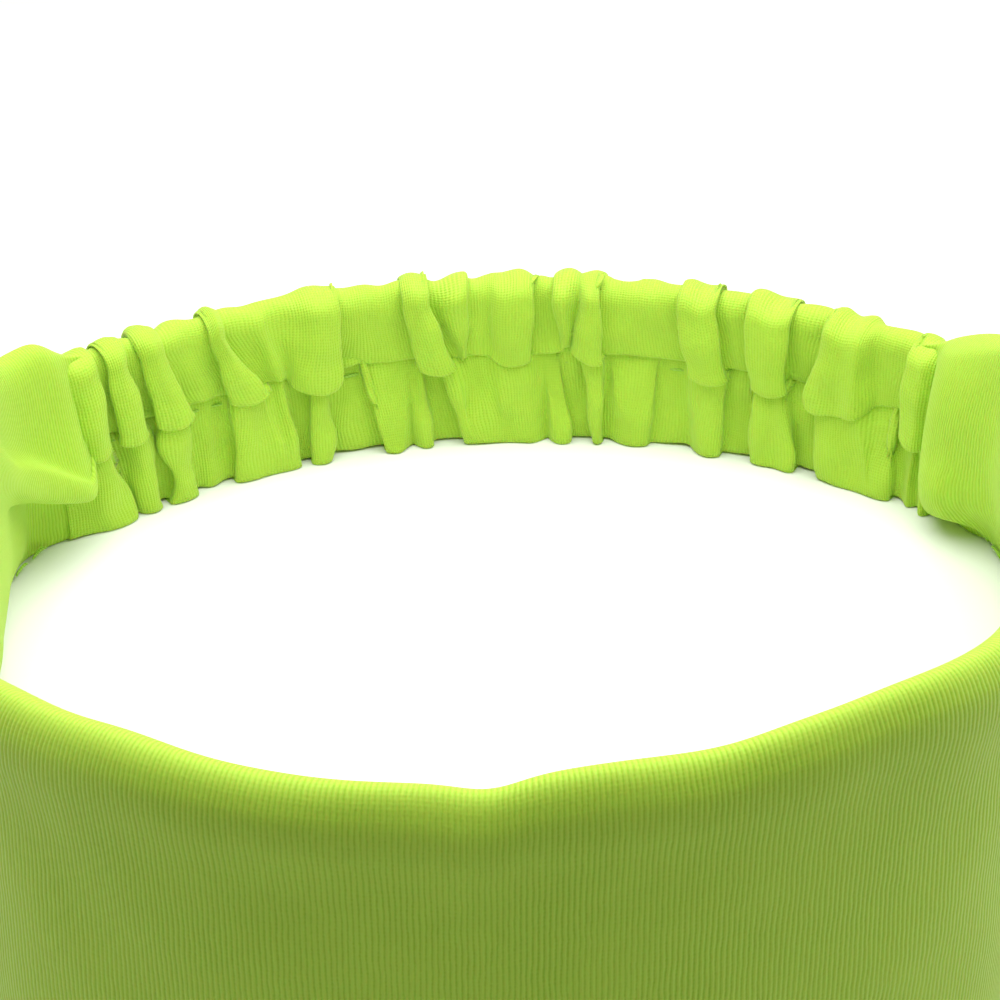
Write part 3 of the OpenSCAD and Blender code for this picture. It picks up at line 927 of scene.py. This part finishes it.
def woven_elastic(colours):
    """Woven polyester and rubber elastic: off-white, with small picks up and along the strip."""
    material, tree, output = new_material("woven_elastic")
    position = add(tree, "ShaderNodeTexCoord").outputs["Object"]
    # one pick in each millimetre up and along the strip
    picks = add(tree, "ShaderNodeTexWave", {"Vector": position}, Scale=320.0, Distortion=0.6,
                bands_direction="X").outputs["Fac"]
    lines = add(tree, "ShaderNodeTexWave", {"Vector": position}, Scale=320.0, Distortion=0.4,
                bands_direction="Z").outputs["Fac"]
    weave = add(tree, "ShaderNodeMath", {0: picks, 1: lines}, operation="MULTIPLY").outputs[0]
    cloth_shader(
        tree, output, weave, weave,
        ([0.72 * channel for channel in colours.elastic], colours.elastic), (0.8, 0.6), (0.6, 0.0002),
        IOR=1.52)
    return material


def painted_floor(colours):
    """A smooth matt white floor, like painted card, with the faintest mottle."""
    material, tree, output = new_material("matt_white_card")
    position = add(tree, "ShaderNodeTexCoord")
    mottle = add(tree, "ShaderNodeTexNoise", {"Vector": position.outputs["Object"]}, Scale=40.0, Detail=2.0)
    dull = add(tree, "ShaderNodeMapRange", {0: mottle.outputs[0]})
    dull.inputs[3].default_value, dull.inputs[4].default_value = 0.85, 0.95
    shader = add(tree, "ShaderNodeBsdfPrincipled", {"Roughness": dull.outputs[0]},
                 Base_Color=colour(colours.floor), Specular_IOR_Level=0.2)
    tree.links.new(shader.outputs[0], output.inputs[0])
    return material


# ---------------------------------------------------------------- stage

FLOOR_HALF = 6.0  # metres
CAMERA_PLACE = (0.0, -0.2533, 0.2061)
CAMERA_DOWN = 33  # degrees below the level
WORLD_LIGHT = 0.22
LAMP_PLACE = (0.02, 0.06, 0.3)
LAMP_AIM = (0.02, 0.06, 0)


def softbox(place, aim, size, power):
    """A soft oblong light at a place in metres, aimed at a point, that no view shows."""
    light = bpy.data.lights.new("softbox", "AREA")
    light.shape = "RECTANGLE"
    light.energy = power
    light.size, light.size_y = size
    lamp = bpy.data.objects.new("softbox", light)
    lamp.visible_camera = False
    lamp.location = place
    lamp.rotation_euler = (Vector(aim) - Vector(place)).to_track_quat("-Z", "Y").to_euler()
    bpy.context.scene.collection.objects.link(lamp)


def build_stage(colours):
    """The floor, the light and the camera."""
    scene = bpy.context.scene
    size = FLOOR_HALF
    corners = np.array([(-size, -size, 0), (size, -size, 0), (size, size, 0), (-size, size, 0)], float)
    floor = mesh_piece("floor", corners, [[0, 1, 2, 3]])
    floor.data.materials.append(painted_floor(colours))
    world = bpy.data.worlds.new("studio")
    world.use_nodes = True
    world.node_tree.nodes["Background"].inputs[0].default_value = (1, 1, 1, 1)
    world.node_tree.nodes["Background"].inputs[1].default_value = WORLD_LIGHT
    scene.world = world
    softbox(LAMP_PLACE, LAMP_AIM, (0.5, 0.36), 2.5)
    camera = bpy.data.cameras.new("camera")
    camera.lens, camera.sensor_width = 90.0, 36.0
    camera.clip_start, camera.clip_end = 0.01, 50.0
    holder = bpy.data.objects.new("camera", camera)
    holder.location = CAMERA_PLACE
    holder.rotation_euler = (math.radians(90 - CAMERA_DOWN), 0, 0)
    scene.collection.objects.link(holder)
    scene.camera = holder
    scene.view_settings.view_transform = "Standard"
    scene.view_settings.look = "None"


# ---------------------------------------------------------------- operators


class HEADBAND_OT_front_band(bpy.types.Operator):
    """Builds the folded front band"""

    bl_idname = "headband.front_band"
    bl_label = "Front band"

    def execute(self, context):
        build_band(context.scene.headband_sizes, context.scene.headband_colours)
        return {"FINISHED"}


class HEADBAND_OT_back_casing(bpy.types.Operator):
    """Builds the gathered casing at the back"""

    bl_idname = "headband.back_casing"
    bl_label = "Gathered casing"

    def execute(self, context):
        build_casing(context.scene.headband_sizes, context.scene.headband_colours)
        return {"FINISHED"}


class HEADBAND_OT_elastic(bpy.types.Operator):
    """Builds the woven elastic inside the casing"""

    bl_idname = "headband.elastic"
    bl_label = "Elastic"

    def execute(self, context):
        build_elastic(context.scene.headband_sizes, context.scene.headband_colours)
        return {"FINISHED"}


class HEADBAND_OT_stitches(bpy.types.Operator):
    """Sews the seams, the joins and the tacks"""

    bl_idname = "headband.stitches"
    bl_label = "Stitches"

    def execute(self, context):
        build_stitches(context.scene.headband_sizes, context.scene.headband_colours)
        return {"FINISHED"}


class HEADBAND_OT_stage(bpy.types.Operator):
    """Sets up the floor, the light and the camera"""

    bl_idname = "headband.stage"
    bl_label = "Floor, light and camera"

    def execute(self, context):
        build_stage(context.scene.headband_colours)
        return {"FINISHED"}


class HEADBAND_PT_panel(bpy.types.Panel):
    """Lists the headband's settings and what can be built"""

    bl_idname = "HEADBAND_PT_panel"
    bl_label = "Sports headband"
    bl_space_type = "VIEW_3D"
    bl_region_type = "UI"
    bl_category = "Headband"

    def draw(self, context):
        for group in (context.scene.headband_sizes, context.scene.headband_colours):
            box = self.layout.box()
            for name in group.bl_rna.properties.keys():
                if name not in ("rna_type", "name"):
                    box.prop(group, name)
        for operator in OPERATORS:
            self.layout.operator(operator.bl_idname)


OPERATORS = (
    HEADBAND_OT_stage,
    HEADBAND_OT_front_band,
    HEADBAND_OT_elastic,
    HEADBAND_OT_back_casing,
    HEADBAND_OT_stitches,
)
CLASSES = (HeadbandSizes, HeadbandColours, *OPERATORS, HEADBAND_PT_panel)


def register():
    for item in CLASSES:
        bpy.utils.register_class(item)
    bpy.types.Scene.headband_sizes = bpy.props.PointerProperty(type=HeadbandSizes)
    bpy.types.Scene.headband_colours = bpy.props.PointerProperty(type=HeadbandColours)


def unregister():
    del bpy.types.Scene.headband_colours
    del bpy.types.Scene.headband_sizes
    for item in reversed(CLASSES):
        bpy.utils.unregister_class(item)


def main():
    register()
    for operator in OPERATORS:
        group, name = operator.bl_idname.split(".")
        getattr(getattr(bpy.ops, group), name)()


if __name__ == "__main__":
    main()
